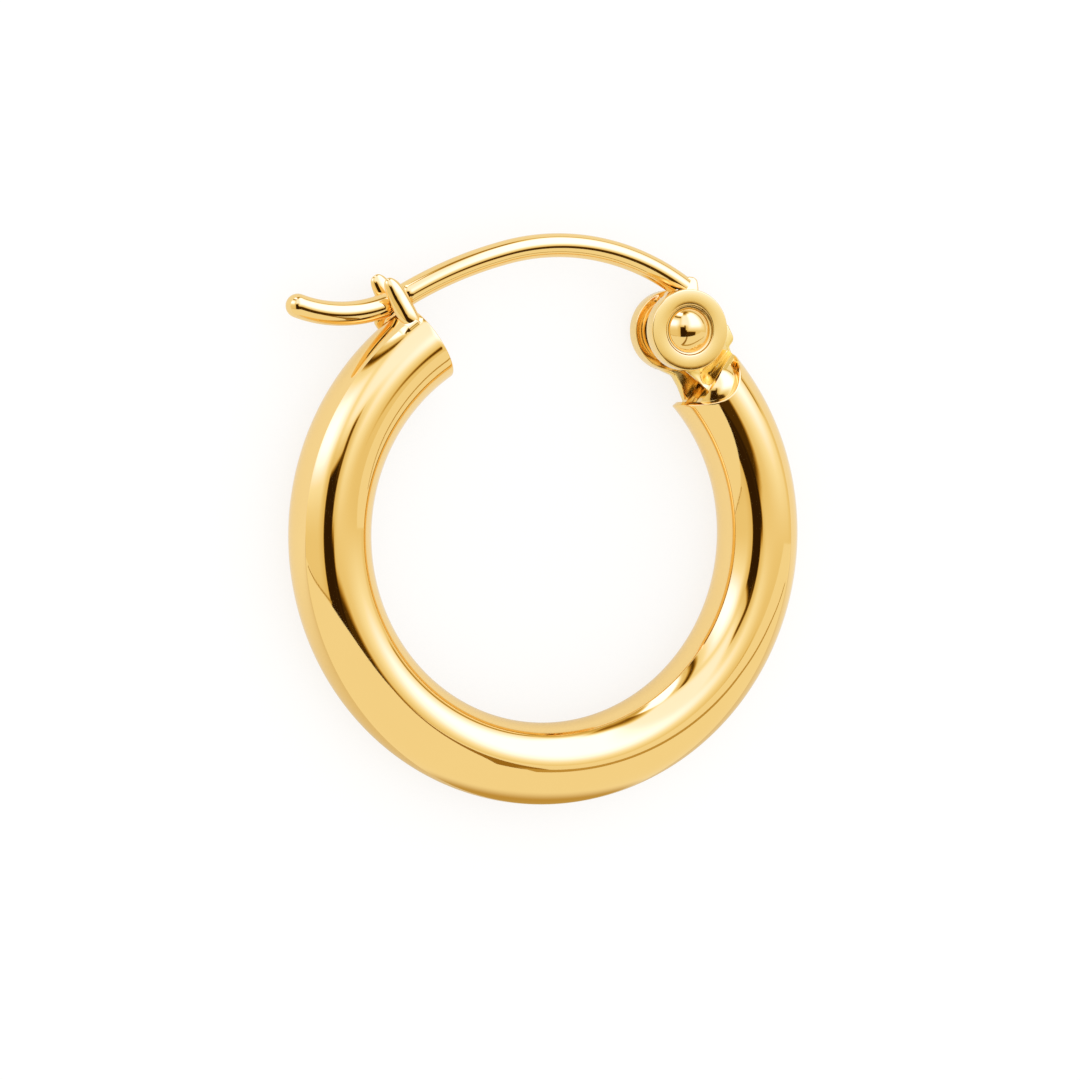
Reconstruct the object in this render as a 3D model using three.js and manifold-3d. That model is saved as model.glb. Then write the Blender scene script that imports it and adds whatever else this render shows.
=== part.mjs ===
// A tubular hoop earring with a hinged ear wire, in millimetres, lying on its side.
// The hoop's axis is +Z and its middle plane is half a tube above Z = 0. Seen from +Z the
// gap that the ear wire spans is at the top (+Y), the hinge on the right, the catch on the left.
// Angles are in degrees, anticlockwise from +X about the hoop's centre unless a note says more.

import * as THREE from 'three';
import { mergeVertices } from 'three/addons/utils/BufferGeometryUtils.js';
import Module from 'manifold-3d';

const wasm = await Module();
wasm.setup();

// Tube
const HOOP_RADIUS = 8.4; // centre of the hoop to the middle of the tube
const TUBE_RADIUS = 1.5;
const TUBE_WALL = 0.25;
const CATCH_END = 123.4;
const HINGE_END = 42.4;
const TUBE_STEPS = 60;
const CAP_THICKNESS = 0.35; // plate that closes the catch end
const VENT_RADIUS = 0.25; // solderer's vent through that plate
const MOUTH_SKEW = 2; // the hinge end is cut a little short on its outer side
const MOUTH_CROWN = 1.85; // radius of the crowned cut, seen along the hoop's radius

// Hinge: u runs from the rivet towards the tube, v outwards from the hoop's centre
const RIVET_DISTANCE = 9.12; // from the hoop's centre
const RIVET_ANGLE = 55.1;
const EAR_RADIUS = 1.5;
const EAR_THICKNESS = 0.6;
const EAR_GAP = 1;
const EAR_BORE = 0.43;
const EAR_BEVEL = 0.06;
const STRAP_INNER = -1.3; // v of the strap's side nearest the hoop's centre
const STRAP_OUTER = -0.1; // v of its other side
const STRAP_FLARE = { front: 0.05, back: 0.5 }; // how far that side spreads towards the tube
const HEAD_RECESS_RADIUS = 0.92;
const HEAD_RECESS_DEPTH = 0.1;
const PLUG_RADIUS = 1.29;
const PLUG_FROM = 34;
const PLUG_TO = 56;
const PLUG_TOP = 1.93; // u of the plug's end face
const SLOT_FLOOR = 2.1; // u of the slot between the ears
const STOP_INNER_RADIUS = 1.34; // clears the ear wire's eye

// Rivet
const RIVET_RADIUS = 0.4;
const HEAD_RADIUS = 0.83;
const HEAD_RISE = 0.45;
const HEAD_GAP = 0.02;

// Ear wire: three arcs, each tangent to the next
const WIRE_RADIUS = 0.44;
const CREST_ARC = { x: 0.554, y: 2.126, radius: 8.441, from: 55, to: 104.56 };
const SLOPE_ARC_RADIUS = 16.167;
const SLOPE_ARC_TO = 119.92;
const TIP_ARC_RADIUS = 4.861;
const TIP_ARC_SWEEP = 49.3;
const WIRE_STEPS = 44;
const EYE_RADIUS = 1.2;
const EYE_THICKNESS = 0.9;
const EYE_BORE = 0.45;
const NOTCH = { fromTip: 3.88, length: 0.68, depth: 0.07 }; // narrow waist where the catch grips

// Catch: two arms that stand on the tube, one on each side of the ear wire
const CATCH_ANGLE = 125.2;
const ARM_WIDTH = 0.84; // along the hoop, where the ear wire lies
const ARM_TIP_RADIUS = 0.3;
const ARM_THICKNESS = 0.44;
const ARM_GAP = 0.94;
const ARM_HEIGHT = 1.45; // above the tube's outermost line
const ARM_ROOT = -0.9; // how far the arm goes down into the tube's side
const ARM_BEVEL = 0.12;
const FOOT = { left: -0.95, right: 0.3, outer: 1.2, rise: 0.09 }; // soldered pad under each arm

const ROUND_SIDES = 16; // sides of the tube and the ear wire
const DISC_SIDES = 32;

const gold = { roughness: 0.12, metalness: 1 };
const wall = { outer: HOOP_RADIUS + TUBE_RADIUS };

const rad = THREE.MathUtils.degToRad;

function onCircle(centre, radius, angle) {
  return {
    x: centre.x + radius * Math.cos(rad(angle)),
    y: centre.y + radius * Math.sin(rad(angle)),
  };
}

const hoopCentre = { x: 0, y: 0 };
const rivetAt = onCircle(hoopCentre, RIVET_DISTANCE, RIVET_ANGLE);

// Arcs in the hoop's middle plane, joined end to end and walked at an even pace.
class ArcPath extends THREE.Curve {
  constructor(arcs) {
    super();
    this.arcs = arcs;
    this.lengths = arcs.map((arc) => Math.abs(rad(arc.to - arc.from)) * arc.radius);
    this.total = this.lengths.reduce((sum, length) => sum + length, 0);
  }

  getPoint(t, target = new THREE.Vector3()) {
    let along = t * this.total;
    let i = 0;
    while (i < this.arcs.length - 1 && along > this.lengths[i]) {
      along -= this.lengths[i];
      i += 1;
    }
    const arc = this.arcs[i];
    const angle = arc.from + ((arc.to - arc.from) * along) / this.lengths[i];
    const point = onCircle(arc, arc.radius, angle);
    return target.set(point.x, point.y, 0);
  }
}

function hoopArc(from, to) {
  return new ArcPath([{ ...hoopCentre, radius: HOOP_RADIUS, from, to }]);
}

function ring(outer, inner = 0) {
  const shape = new THREE.Shape();
  shape.absarc(0, 0, outer, 0, 2 * Math.PI);
  if (inner > 0) {
    const hole = new THREE.Path();
    hole.absarc(0, 0, inner, 0, 2 * Math.PI, true);
    shape.holes.push(hole);
  }
  return shape;
}

function sweep(shape, path, steps) {
  return new THREE.ExtrudeGeometry(shape, {
    steps,
    extrudePath: path,
    curveSegments: ROUND_SIDES / 2,
  });
}

// A flat plate of the given outline, centred on Z = 0.
function plate(shape, thickness, bevel = 0) {
  const geometry = new THREE.ExtrudeGeometry(shape, {
    depth: thickness - 2 * bevel,
    curveSegments: DISC_SIDES / 2,
    bevelEnabled: bevel > 0,
    bevelThickness: bevel,
    bevelSize: bevel,
    bevelOffset: -bevel,
    bevelSegments: 1,
  });
  return geometry.translate(0, 0, bevel - thickness / 2);
}

function outline(points) {
  return new THREE.Shape(points.map(([u, v]) => new THREE.Vector2(u, v)));
}

function box(lowU, highU, lowV, highV, depth) {
  return new THREE.BoxGeometry(highU - lowU, highV - lowV, depth)
    .translate((lowU + highU) / 2, (lowV + highV) / 2, 0);
}

function disc(radius, thickness) {
  return new THREE.CylinderGeometry(radius, radius, thickness, DISC_SIDES).rotateX(Math.PI / 2);
}

function solid(geometry) {
  const bare = new THREE.BufferGeometry();
  bare.setAttribute('position', geometry.getAttribute('position'));
  if (geometry.index) bare.setIndex(geometry.index);
  const merged = mergeVertices(bare, 1e-5);
  return new wasm.Manifold(new wasm.Mesh({
    numProp: 3,
    vertProperties: new Float32Array(merged.getAttribute('position').array),
    triVerts: new Uint32Array(merged.index.array),
  }));
}

function geometryOf(manifold) {
  const mesh = manifold.getMesh();
  const geometry = new THREE.BufferGeometry();
  geometry.setAttribute('position', new THREE.BufferAttribute(mesh.vertProperties, 3));
  geometry.setIndex(new THREE.BufferAttribute(mesh.triVerts, 1));
  geometry.computeVertexNormals();
  return geometry;
}

// The hinge's own frame: (u, v) at the rivet become (x, y) about the hoop's centre.
function atHinge(geometry) {
  return geometry.rotateZ(rad(RIVET_ANGLE - 90)).translate(rivetAt.x, rivetAt.y, 0);
}

// The catch's frame: +y outwards from the tube's outermost line, +x clockwise round the hoop.
function atCatch(geometry) {
  const foot = onCircle(hoopCentre, wall.outer, CATCH_ANGLE);
  return geometry.rotateZ(rad(CATCH_ANGLE - 90)).translate(foot.x, foot.y, 0);
}

// The hollow tube, with a vented plate in its catch end and its other end cut crowned.
function makeTube() {
  const bore = TUBE_RADIUS - TUBE_WALL;
  const spare = 5;
  const lastAngle = 360 + HINGE_END;
  const tubePath = hoopArc(CATCH_END, lastAngle + spare);
  const tube = solid(sweep(ring(TUBE_RADIUS, bore), tubePath, TUBE_STEPS));
  const capPath = hoopArc(CATCH_END, CATCH_END + THREE.MathUtils.radToDeg(CAP_THICKNESS / HOOP_RADIUS));
  const cap = solid(sweep(ring(bore + TUBE_WALL / 2, VENT_RADIUS), capPath, 1));

  const reach = TUBE_RADIUS + 0.5;
  const crown = new THREE.CylinderGeometry(MOUTH_CROWN, MOUTH_CROWN, 3 * reach, DISC_SIDES)
    .translate(-MOUTH_CROWN, 0, 0);
  const beyond = box(-1, 2 * reach, -reach, reach, 2 * reach);
  const mouth = onCircle(hoopCentre, HOOP_RADIUS, HINGE_END);
  const [crownSolid, beyondSolid] = [crown, beyond].map((geometry) => solid(
    geometry.rotateZ(rad(HINGE_END + 90 - MOUTH_SKEW)).translate(mouth.x, mouth.y, 0),
  ));
  return tube.add(cap).subtract(beyondSolid.subtract(crownSolid));
}

// The plug that closes the hinge end and carries the ears, slotted for the ear wire's eye.
function makePlug() {
  const plug = solid(sweep(ring(PLUG_RADIUS), hoopArc(PLUG_FROM, PLUG_TO), 8));
  const reach = 4;
  const end = solid(atHinge(box(-reach, PLUG_TOP, -reach, reach, reach)));
  const slot = solid(atHinge(box(0, SLOT_FLOOR, -reach, reach, EAR_GAP)));
  return plug.subtract(end).subtract(slot);
}

// One ear: a round disc on a short strap, bored for the rivet and recessed for its head.
function makeEar(side) {
  const middle = side * (EAR_GAP + EAR_THICKNESS) / 2;
  const strapEnd = PLUG_TOP + 0.2;
  const flare = side > 0 ? STRAP_FLARE.front : STRAP_FLARE.back;
  const strap = outline([
    [0, -EAR_RADIUS], [0.7, 0.12 - EAR_RADIUS], [1.05, STRAP_INNER], [1.5, STRAP_INNER - 0.4 * flare],
    [strapEnd, STRAP_INNER - 1.2 * flare], [strapEnd, STRAP_OUTER - 0.2],
    [1.25, STRAP_OUTER + 0.3], [0, 0.6],
  ]);
  const face = side * (EAR_GAP / 2 + EAR_THICKNESS);
  const round = solid(atHinge(plate(ring(EAR_RADIUS), EAR_THICKNESS, EAR_BEVEL).translate(0, 0, middle)));
  const stem = solid(atHinge(plate(strap, EAR_THICKNESS - 2 * EAR_BEVEL).translate(0, 0, middle)));
  const bore = solid(atHinge(disc(EAR_BORE, 1).translate(0, 0, middle)));
  const recess = solid(atHinge(disc(HEAD_RECESS_RADIUS, 2 * HEAD_RECESS_DEPTH).translate(0, 0, face)));
  return round.add(stem).subtract(bore).subtract(recess);
}

// The web between the ears on their outer side, which the ear wire's heel meets when it is open.
function makeStop() {
  const web = solid(atHinge(plate(outline([
    [0.9, 0.2], [1.2, 1.15], [1.33, 1.24], [1.86, 0.93],
    [1.92, 0.76], [1.92, 0.5], [2.5, 0.2], [2.5, -0.6],
  ]), EAR_GAP + 0.1)));
  const clearance = solid(atHinge(disc(STOP_INNER_RADIUS, 3)));
  return web.subtract(clearance);
}

// One arm of the catch, widest where the ear wire lies, on a pad soldered to the tube's shoulder.
function makeCatchArm(side) {
  const half = ARM_WIDTH / 2;
  const tipMiddle = ARM_HEIGHT - ARM_TIP_RADIUS;
  const shape = new THREE.Shape();
  shape.moveTo(half, ARM_ROOT);
  shape.lineTo(half, 0.4);
  shape.lineTo(ARM_TIP_RADIUS, tipMiddle);
  shape.absarc(0, tipMiddle, ARM_TIP_RADIUS, 0, Math.PI);
  shape.lineTo(-half, 0.6);
  shape.lineTo(-half, ARM_ROOT);
  const geometry = new THREE.ExtrudeGeometry(shape, {
    depth: ARM_THICKNESS - 2 * ARM_BEVEL,
    curveSegments: 8,
    bevelThickness: ARM_BEVEL,
    bevelSize: ARM_BEVEL,
    bevelOffset: -ARM_BEVEL,
    bevelSegments: 2,
  }).translate(0, 0, ARM_BEVEL - ARM_THICKNESS / 2 + side * (ARM_GAP + ARM_THICKNESS) / 2);

  const padDepth = FOOT.outer - ARM_GAP / 2;
  const padMiddle = side * (FOOT.outer + ARM_GAP / 2) / 2;
  const padBox = solid(atCatch(box(FOOT.left, FOOT.right, -1, 0.5, padDepth).translate(0, 0, padMiddle)));
  const padArc = hoopArc(CATCH_ANGLE - 5, CATCH_ANGLE + 9);
  const pad = solid(sweep(ring(TUBE_RADIUS + FOOT.rise), padArc, 3)).intersect(padBox);
  return solid(atCatch(geometry)).add(pad);
}

function makeHoop() {
  return [makePlug(), makeStop(), makeEar(1), makeEar(-1), makeCatchArm(1), makeCatchArm(-1)]
    .reduce((hoop, piece) => hoop.add(piece), makeTube());
}

// The rivet: a shaft with a domed head on each ear, turned about its own axis.
function makeRivet() {
  const seat = EAR_GAP / 2 + EAR_THICKNESS - HEAD_RECESS_DEPTH + HEAD_GAP;
  const domeRadius = (HEAD_RADIUS ** 2 + HEAD_RISE ** 2) / (2 * HEAD_RISE);
  const domeAngle = Math.asin(HEAD_RADIUS / domeRadius);
  const steps = 6;
  const head = [];
  for (let i = 0; i <= steps; i += 1) {
    const angle = domeAngle * (1 - i / steps);
    const rise = domeRadius * (Math.cos(angle) - Math.cos(domeAngle));
    head.push(new THREE.Vector2(domeRadius * Math.sin(angle), seat + rise));
  }
  const half = [new THREE.Vector2(RIVET_RADIUS, seat), ...head];
  const mirrored = half.map((point) => new THREE.Vector2(point.x, -point.y)).reverse();
  return new THREE.LatheGeometry([...mirrored, ...half], 24).rotateX(Math.PI / 2);
}

// The ear wire's middle line, from its eye over the crest to its upturned tip.
function wirePath() {
  const crest = CREST_ARC;
  const slopeCentre = onCircle(crest, crest.radius - SLOPE_ARC_RADIUS, crest.to);
  const slope = { ...slopeCentre, radius: SLOPE_ARC_RADIUS, from: crest.to, to: SLOPE_ARC_TO };
  const tipCentre = onCircle(slopeCentre, SLOPE_ARC_RADIUS + TIP_ARC_RADIUS, SLOPE_ARC_TO);
  const tipFrom = SLOPE_ARC_TO - 180;
  const tip = { ...tipCentre, radius: TIP_ARC_RADIUS, from: tipFrom, to: tipFrom - TIP_ARC_SWEEP };
  return new ArcPath([crest, slope, tip]);
}

// What is filed off all round the wire at its notch.
function notchCut(path) {
  const t = 1 - NOTCH.fromTip / path.total;
  const along = path.getTangent(t);
  const middle = path.getPoint(t);
  const sleeve = new THREE.Shape(ring(WIRE_RADIUS + 0.2).getPoints(ROUND_SIDES));
  sleeve.holes.push(ring(WIRE_RADIUS - NOTCH.depth));
  const geometry = new THREE.ExtrudeGeometry(sleeve, {
    depth: NOTCH.length,
    curveSegments: ROUND_SIDES / 2,
    bevelEnabled: false,
  });
  return solid(geometry.translate(0, 0, -NOTCH.length / 2).rotateY(Math.PI / 2)
    .rotateZ(Math.atan2(along.y, along.x)).translate(middle.x, middle.y, 0));
}

// The ear wire, with a flattened eye round the rivet and a heel beside it.
function makeEarWire() {
  const path = wirePath();
  const end = path.getPoint(1);
  const wire = solid(sweep(ring(WIRE_RADIUS), path, WIRE_STEPS));
  const tip = solid(new THREE.SphereGeometry(WIRE_RADIUS, ROUND_SIDES, 10).translate(end.x, end.y, 0));
  const eye = solid(atHinge(disc(EYE_RADIUS, EYE_THICKNESS)));
  const heel = solid(atHinge(plate(outline([
    [-0.6, 0], [0.9, 0.5], [-0.1, 1.15], [-0.26, 1.72],
    [-0.52, 1.92], [-0.72, 1.93], [-0.9, 1.8], [-1.2, 0.6],
  ]), EYE_THICKNESS)));
  const bore = solid(atHinge(disc(EYE_BORE, 2)));
  return wire.add(tip).add(eye).add(heel).subtract(bore).subtract(notchCut(path));
}

function namedMesh(name, geometry, color) {
  const material = new THREE.MeshStandardMaterial({ color, ...gold });
  const mesh = new THREE.Mesh(geometry, material);
  mesh.name = name;
  return mesh;
}

const rivet = namedMesh('hinge_rivet', makeRivet(), '#f0c25e');
rivet.position.set(rivetAt.x, rivetAt.y, 0);

const earring = new THREE.Group();
earring.name = 'earring';
earring.add(
  namedMesh('hoop_tube', geometryOf(makeHoop()), '#efc066'),
  rivet,
  namedMesh('ear_wire', geometryOf(makeEarWire()), '#edbb5c'),
);

// The origin is below the middle of the part's box.
const wireEnd = wirePath().getPoint(1);
const left = wireEnd.x - WIRE_RADIUS;
const top = CREST_ARC.y + CREST_ARC.radius + WIRE_RADIUS;
earring.position.set(-(left + wall.outer) / 2, -(top - wall.outer) / 2, TUBE_RADIUS);

const group = new THREE.Group();
group.add(earring);

export default group;
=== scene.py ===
import math

import bpy
from mathutils import Matrix, Vector


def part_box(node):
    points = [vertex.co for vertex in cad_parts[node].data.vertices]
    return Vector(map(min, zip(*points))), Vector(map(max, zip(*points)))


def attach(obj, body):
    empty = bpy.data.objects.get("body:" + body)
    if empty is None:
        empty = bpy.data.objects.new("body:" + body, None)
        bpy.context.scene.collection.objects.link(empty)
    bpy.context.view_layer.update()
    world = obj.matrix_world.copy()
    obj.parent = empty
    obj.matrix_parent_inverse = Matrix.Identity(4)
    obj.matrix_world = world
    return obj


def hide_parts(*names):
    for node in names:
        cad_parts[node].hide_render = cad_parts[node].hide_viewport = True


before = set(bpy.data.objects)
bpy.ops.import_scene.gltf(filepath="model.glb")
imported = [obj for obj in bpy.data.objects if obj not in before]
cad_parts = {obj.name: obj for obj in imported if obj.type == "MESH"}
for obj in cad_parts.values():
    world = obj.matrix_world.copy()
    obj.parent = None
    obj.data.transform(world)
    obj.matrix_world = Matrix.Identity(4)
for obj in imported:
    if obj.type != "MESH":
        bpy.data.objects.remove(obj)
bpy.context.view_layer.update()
print("frame loaded:", sorted(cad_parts))

# A polished gold tube hoop with a hinged ear wire, lying on its side.
# Every piece is modelled in millimetres round the hoop's centre, or in its own small frame,
# and put in place at the end. Angles are in degrees.
hoopLow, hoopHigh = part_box("hoop_tube")
hoop = {
    "radius": 8.4,
    "tubeRadius": 1.5,
    "wall": 0.25,
    "catchEnd": 123.4,
    "hingeEnd": 42.4,
    "mouthSkew": 2.0,
    "mouthCrown": 1.85,
    "mouthEase": 16.0,
    "mouthSlack": 0.001,
    "sides": 112,
    "steps": 260,
    "rimRounding": 0.045,
}
hoop["outer"] = hoop["radius"] + hoop["tubeRadius"]
hoopCentre = Vector((
    hoopHigh.x - hoop["outer"] / 1000,
    hoopLow.y + hoop["outer"] / 1000,
    (hoopLow.z + hoopHigh.z) / 2,
))


def onCircle(centre, radius, angle):
    turned = math.radians(angle)
    return Vector((centre[0] + radius * math.cos(turned), centre[1] + radius * math.sin(turned), 0))


# where the rivet and the catch stand on the hoop
spots = {"rivetRadius": 9.12, "rivetAngle": 55.1, "catchAngle": 125.2}
rivetAt = onCircle((0, 0), spots["rivetRadius"], spots["rivetAngle"])
hingeTurn = math.radians(spots["rivetAngle"] - 90)
catchAt = onCircle((0, 0), hoop["outer"], spots["catchAngle"])
catchTurn = math.radians(spots["catchAngle"] - 90)


# Camera

camera = {
    "location": Vector((-70.38, 4.82, 178.90)),
    "aim": Vector((-0.27, -0.21, 0.0)),
    "lens": 175.2,
    "sensor": 36.0,
    "clipStart": 0.005,
    "clipEnd": 20,
}


def addCamera():
    data = bpy.data.cameras.new("camera")
    data.lens = camera["lens"]
    data.sensor_width = camera["sensor"]
    data.clip_start = camera["clipStart"]
    data.clip_end = camera["clipEnd"]
    eye = bpy.data.objects.new("camera", data)
    bpy.context.collection.objects.link(eye)
    look = (camera["aim"] - camera["location"]).normalized()
    right = look.cross(Vector((0, 1, 0))).normalized()
    up = right.cross(look)
    turn = Matrix((right, up, -look)).transposed().to_4x4()
    place = Matrix.Translation(hoopCentre + camera["location"] / 1000)
    eye.matrix_world = place @ turn
    bpy.context.scene.camera = eye


addCamera()
print("camera set")


# Small helpers for modelling by hand

def deselectAll():
    if bpy.context.object and bpy.context.object.mode != "OBJECT":
        bpy.ops.object.mode_set(mode="OBJECT")
    bpy.ops.object.select_all(action="DESELECT")


def makeActive(piece):
    deselectAll()
    piece.select_set(True)
    bpy.context.view_layer.objects.active = piece


def editMode():
    bpy.ops.object.mode_set(mode="EDIT")


def objectMode():
    bpy.ops.object.mode_set(mode="OBJECT")


def applyPlace():
    bpy.ops.object.transform_apply(location=True, rotation=True, scale=True)


def modifier(piece, kind, **settings):
    makeActive(piece)
    added = piece.modifiers.new(kind.lower(), kind)
    for key, value in settings.items():
        setattr(added, key, value)
    bpy.ops.object.modifier_apply(modifier=added.name)


def bevelEdges(piece, width, segments=3, angle=35):
    modifier(
        piece, "BEVEL",
        width=width,
        segments=segments,
        limit_method="ANGLE",
        angle_limit=math.radians(angle),
        use_clamp_overlap=True,
    )


def boolean(piece, other, operation):
    modifier(piece, "BOOLEAN", object=other, operation=operation, solver="EXACT")
    bpy.data.objects.remove(other, do_unlink=True)


def cleanShell(piece):
    makeActive(piece)
    editMode()
    bpy.ops.mesh.select_all(action="SELECT")
    bpy.ops.mesh.remove_doubles(threshold=1e-5)
    bpy.ops.mesh.normals_make_consistent(inside=False)
    objectMode()


def smoothShade(piece, angle=32):
    makeActive(piece)
    bpy.ops.object.shade_smooth_by_angle(angle=math.radians(angle))


def settle(piece, origin=Vector((0, 0, 0)), turn=0.0):
    # from its own frame in millimetres to its place in the shared frame
    makeActive(piece)
    piece.matrix_world = (
        Matrix.Translation(hoopCentre + origin / 1000)
        @ Matrix.Rotation(turn, 4, "Z")
        @ Matrix.Scale(0.001, 4)
    )
    applyPlace()


def moveToHinge(piece):
    # from the hoop's frame to the hinge's
    makeActive(piece)
    piece.matrix_world = (Matrix.Translation(rivetAt) @ Matrix.Rotation(hingeTurn, 4, "Z")).inverted()
    applyPlace()


def arcPoints(centre, radius, start, end, count):
    return [
        onCircle(centre, radius, start + (end - start) * i / count).to_2d()
        for i in range(count + 1)
    ]


def startWire(name, points):
    # one vertex, extruded on from point to point
    deselectAll()
    bpy.ops.mesh.primitive_plane_add(size=1, location=(0, 0, 0))
    piece = bpy.context.object
    piece.name = name
    editMode()
    bpy.ops.mesh.select_all(action="SELECT")
    bpy.ops.mesh.merge(type="CENTER")
    bpy.ops.transform.translate(value=points[0])
    for here, there in zip(points, points[1:]):
        bpy.ops.mesh.extrude_region_move(
            TRANSFORM_OT_translate={"value": tuple(b - a for a, b in zip(here, there))},
        )
    return piece


def turnedPiece(name, profile, steps):
    # profile of (radius, height) turned about Z
    piece = startWire(name, [(radius, 0, height) for radius, height in profile])
    bpy.ops.mesh.select_all(action="SELECT")
    bpy.ops.mesh.spin(steps=steps, angle=math.radians(360), center=(0, 0, 0), axis=(0, 0, 1))
    objectMode()
    cleanShell(piece)
    return piece


def platePiece(name, points, thickness, middle=0.0):
    # a flat outline in X and Y, given its thickness along Z
    low = middle - thickness / 2
    piece = startWire(name, [(x, y, low) for x, y in points])
    bpy.ops.mesh.select_all(action="SELECT")
    bpy.ops.mesh.edge_face_add()
    bpy.ops.mesh.extrude_region_move(TRANSFORM_OT_translate={"value": (0, 0, thickness)})
    objectMode()
    cleanShell(piece)
    return piece


def sheetPiece(name, columns, rows, place, thickness, outward):
    # a grid laid on a curved face, then thickened inwards
    deselectAll()
    bpy.ops.mesh.primitive_grid_add(x_subdivisions=columns, y_subdivisions=rows, size=2)
    piece = bpy.context.object
    piece.name = name
    for vertex in piece.data.vertices:
        vertex.co = place((vertex.co.x + 1) / 2, (vertex.co.y + 1) / 2)
    middle = len(piece.data.polygons) // 2
    if piece.data.polygons[middle].normal.dot(outward) < 0:
        editMode()
        bpy.ops.mesh.select_all(action="SELECT")
        bpy.ops.mesh.flip_normals()
        objectMode()
    modifier(piece, "SOLIDIFY", thickness=thickness, offset=-1, use_even_offset=False)
    cleanShell(piece)
    return piece


def smoothStep(low, high, value):
    share = min(1, max(0, (value - low) / (high - low)))
    return share * share * (3 - 2 * share)


# Tube

def mouthSlide(vertex):
    # how far the mouth's edge lies back from a square cut, in millimetres
    radial = math.hypot(vertex.x, vertex.y) - hoop["radius"]
    crown = hoop["mouthCrown"]
    drop = crown - math.sqrt(crown ** 2 - min(abs(vertex.z), hoop["tubeRadius"]) ** 2)
    return drop + radial * math.tan(math.radians(hoop["mouthSkew"]))


def shapeMouth(piece):
    lastAngle = hoop["hingeEnd"]
    for vertex in piece.data.vertices:
        angle = math.degrees(math.atan2(vertex.co.y, vertex.co.x))
        back = lastAngle - angle
        if 0 <= back + hoop["mouthSlack"] <= hoop["mouthEase"]:
            share = (1 - back / hoop["mouthEase"]) ** 2
            radius = math.hypot(vertex.co.x, vertex.co.y)
            turned = angle - share * math.degrees(mouthSlide(vertex.co) / radius)
            place = onCircle((0, 0), radius, turned)
            vertex.co.x = place.x
            vertex.co.y = place.y


def makeHoopTube():
    start = math.radians(hoop["catchEnd"])
    sweep = 360 + hoop["hingeEnd"] - hoop["catchEnd"]
    deselectAll()
    bpy.ops.mesh.primitive_circle_add(
        vertices=hoop["sides"],
        radius=hoop["tubeRadius"],
        fill_type="NOTHING",
        location=onCircle((0, 0), hoop["radius"], hoop["catchEnd"]),
        rotation=(math.pi / 2, 0, start),
    )
    tube = bpy.context.object
    tube.name = "hoopTube"
    applyPlace()
    editMode()
    bpy.ops.mesh.select_all(action="SELECT")
    bpy.ops.mesh.spin(steps=hoop["steps"], angle=math.radians(-sweep), center=(0, 0, 0), axis=(0, 0, 1))
    bpy.ops.mesh.select_all(action="SELECT")
    bpy.ops.mesh.normals_make_consistent(inside=False)
    objectMode()
    shapeMouth(tube)
    modifier(tube, "SOLIDIFY", thickness=hoop["wall"], offset=-1, use_even_offset=True)
    bevelEdges(tube, hoop["rimRounding"], segments=4, angle=50)
    smoothShade(tube, 40)
    settle(tube)
    return tube


endPlate = {"thickness": 0.35, "vent": 0.25, "radius": 1.27, "back": 0.02, "rounding": 0.03, "steps": 64}


def makeEndPlate():
    plate = turnedPiece(
        "tubeEndPlate",
        [
            (endPlate["vent"], 0),
            (endPlate["radius"], 0),
            (endPlate["radius"], endPlate["thickness"]),
            (endPlate["vent"], endPlate["thickness"]),
            (endPlate["vent"], 0),
        ],
        endPlate["steps"],
    )
    bevelEdges(plate, endPlate["rounding"])
    smoothShade(plate)
    # the disc's axis turned along the hoop at the catch end, just inside the tube
    angle = hoop["catchEnd"] + math.degrees(endPlate["back"] / hoop["radius"])
    along = Matrix.Rotation(math.radians(angle), 4, "Z") @ Matrix.Rotation(-math.pi / 2, 4, "X")
    plate.matrix_world = Matrix.Translation(onCircle((0, 0), hoop["radius"], angle)) @ along
    applyPlace()
    settle(plate)
    return plate


# Hinge, in its own frame: X from the rivet towards the tube, Y outwards, Z along the hoop's axis

hinge = {"gap": 1.0, "plugTop": 1.93, "strapInner": -1.3}

ear = {
    "radius": 1.5,
    "thickness": 0.6,
    "bore": 0.43,
    "rounding": 0.07,
    "recessRadius": 0.92,
    "recessDepth": 0.1,
    "steps": 128,
}


def earDisc(name):
    # lying on Z = 0, recessed on top
    half = ear["thickness"] / 2
    recess = half - ear["recessDepth"]
    disc = turnedPiece(
        name,
        [
            (ear["bore"], -half),
            (ear["radius"], -half),
            (ear["radius"], half),
            (ear["recessRadius"], half),
            (ear["recessRadius"], recess),
            (ear["bore"], recess),
            (ear["bore"], -half),
        ],
        ear["steps"],
    )
    bevelEdges(disc, ear["rounding"], segments=4)
    return disc


strap = {
    "outer": -0.1,
    "intoPlug": 0.2,
    "thickness": 0.56,
    "lean": 10.0,
    "leanFrom": -0.62,
    "rounding": 0.09,
}


def farStrap():
    # from the back ear into the tube, its inner face leaning back towards the middle of the hoop
    inner = hinge["strapInner"]
    outer = strap["outer"]
    end = hinge["plugTop"] + strap["intoPlug"]
    middle = -(hinge["gap"] + ear["thickness"]) / 2
    outline = [
        (0, -ear["radius"]), (0.7, 0.12 - ear["radius"]), (1.05, inner), (1.5, inner - 0.2),
        (end, inner - 0.6), (end, outer - 0.2), (1.25, outer + 0.3), (0, 0.6),
    ]
    piece = platePiece("earStrapBack", outline, strap["thickness"], middle)
    makeActive(piece)
    editMode()
    bpy.ops.mesh.select_all(action="SELECT")
    bpy.ops.mesh.bisect(plane_co=(0, strap["leanFrom"], 0), plane_no=(0, 1, 0))
    objectMode()
    lean = math.tan(math.radians(strap["lean"]))
    for vertex in piece.data.vertices:
        if vertex.co.z > middle:
            vertex.co.z -= max(0, strap["leanFrom"] - vertex.co.y) * lean
    bevelEdges(piece, strap["rounding"], segments=4, angle=30)
    return piece


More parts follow.
